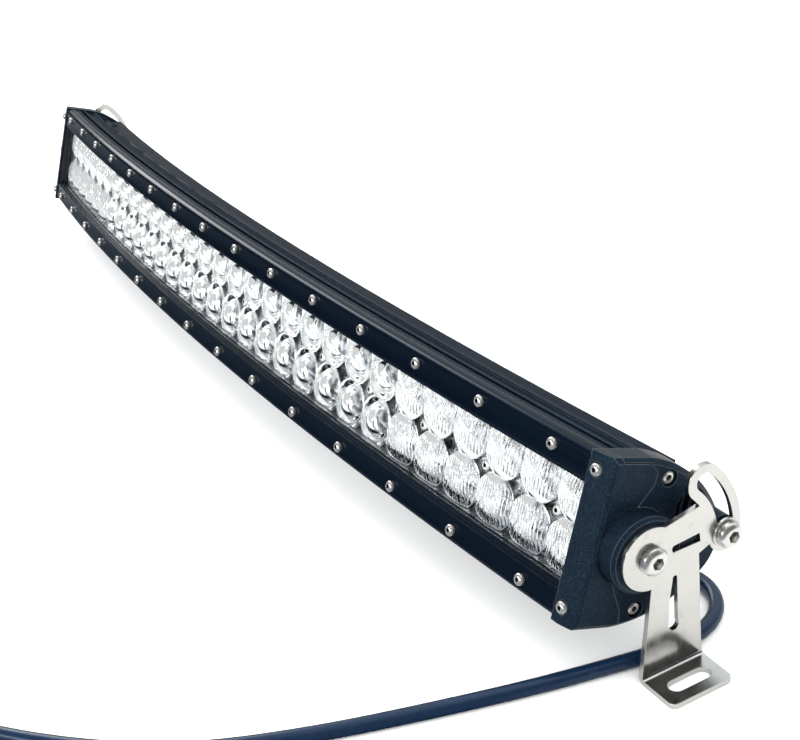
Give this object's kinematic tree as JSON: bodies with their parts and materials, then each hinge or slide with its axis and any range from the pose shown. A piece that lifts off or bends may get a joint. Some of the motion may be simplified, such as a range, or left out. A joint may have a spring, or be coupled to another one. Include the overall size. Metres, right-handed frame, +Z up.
{
  "type": "led light bar",
  "caption": "Curved double-row LED light bar with a finned housing, end caps, two tilting steel end brackets and a supply lead.",
  "frame": {"origin": "centre of the underside of the lamp on its brackets, on the plane that the feet rest on", "axes": "+X along the bar's chord towards the end that the lead runs past, +Y from the light side to the back, +Z up from the feet"},
  "size_m": [0.8342, 0.3788, 0.1103],
  "materials": {
    "housing_black": "black anodised, satin",
    "rail_black": "black anodised, semi-gloss",
    "clear_lens": "clear polycarbonate cover",
    "seal_rubber": "silicone, matt",
    "clear_optic": "clear moulded optic over a silvered cup",
    "board_white": "white solder mask on an aluminium board",
    "led_phosphor": "phosphor under a clear dome",
    "board_green": "solder mask",
    "component_dark": "moulded components",
    "lead_red": "silicone insulation",
    "cap_powder_coat": "speckled fine powder coat",
    "screw_steel": "stainless, bright",
    "bolt_steel": "polished stainless",
    "bracket_stainless": "satin stainless sheet",
    "gland_black": "nylon",
    "cord_jacket": "dark navy jacket, semi-gloss",
    "connector_black": "nylon housing"
  },
  "bodies": {
    "lamp": {"bottom_lens_rail": "rail_black", "bottom_rail_screws": "screw_steel", "breather_vent": "gland_black", "cable_gland_body": "gland_black", "cable_gland_nut": "gland_black", "cable_gland_seal": "seal_rubber", "cord_connector": "connector_black", "driver_board": "board_green", "driver_components": "component_dark", "housing_extrusion": "housing_black", "internal_leads": "lead_red", "led_board_left": "board_white", "led_board_middle": "board_white", "led_board_right": "board_white", "led_emitters": "led_phosphor", "left_adjust_bolt": "bolt_steel", "left_adjust_washer": "bolt_steel", "left_cap_front_screws": "screw_steel", "left_cap_side_screws": "screw_steel", "left_end_cap_front": "cap_powder_coat", "left_end_cap_plate": "cap_powder_coat", "left_end_seal": "seal_rubber", "left_pivot_bolt": "bolt_steel", "lens_cover": "clear_lens", "lens_gasket": "seal_rubber", "optic_module_01": "clear_optic", "optic_module_02": "clear_optic", "optic_module_03": "clear_optic", "optic_module_04": "clear_optic", "optic_module_05": "clear_optic", "optic_module_06": "clear_optic", "optic_module_07": "clear_optic", "optic_module_08": "clear_optic", "optic_module_09": "clear_optic", "optic_module_10": "clear_optic", "optic_module_11": "clear_optic", "optic_module_12": "clear_optic", "optic_module_13": "clear_optic", "optic_module_14": "clear_optic", "optic_module_15": "clear_optic", "optic_screws": "screw_steel", "right_adjust_bolt": "bolt_steel", "right_adjust_washer": "bolt_steel", "right_cap_front_screws": "screw_steel", "right_cap_side_screws": "screw_steel", "right_end_cap_front": "cap_powder_coat", "right_end_cap_plate": "cap_powder_coat", "right_end_seal": "seal_rubber", "right_pivot_bolt": "bolt_steel", "supply_cord": "cord_jacket", "top_lens_rail": "rail_black", "top_rail_screws": "screw_steel"},
    "right_bracket": {"right_bracket": "bracket_stainless"},
    "left_bracket": {"left_bracket": "bracket_stainless"}
  },
  "joints": [
    {"name": "right_bracket_tilt", "type": "hinge", "parent": "lamp", "child": "right_bracket", "pos_m": [0.39535, 0.00459, 0.06], "axis": [1, 0, 0], "range_deg": [-45, 0]},
    {"name": "left_bracket_tilt", "type": "hinge", "parent": "lamp", "child": "left_bracket", "pos_m": [-0.39535, 0.00459, 0.06], "axis": [1, 0, 0], "range_deg": [-45, 0]}
  ]
}
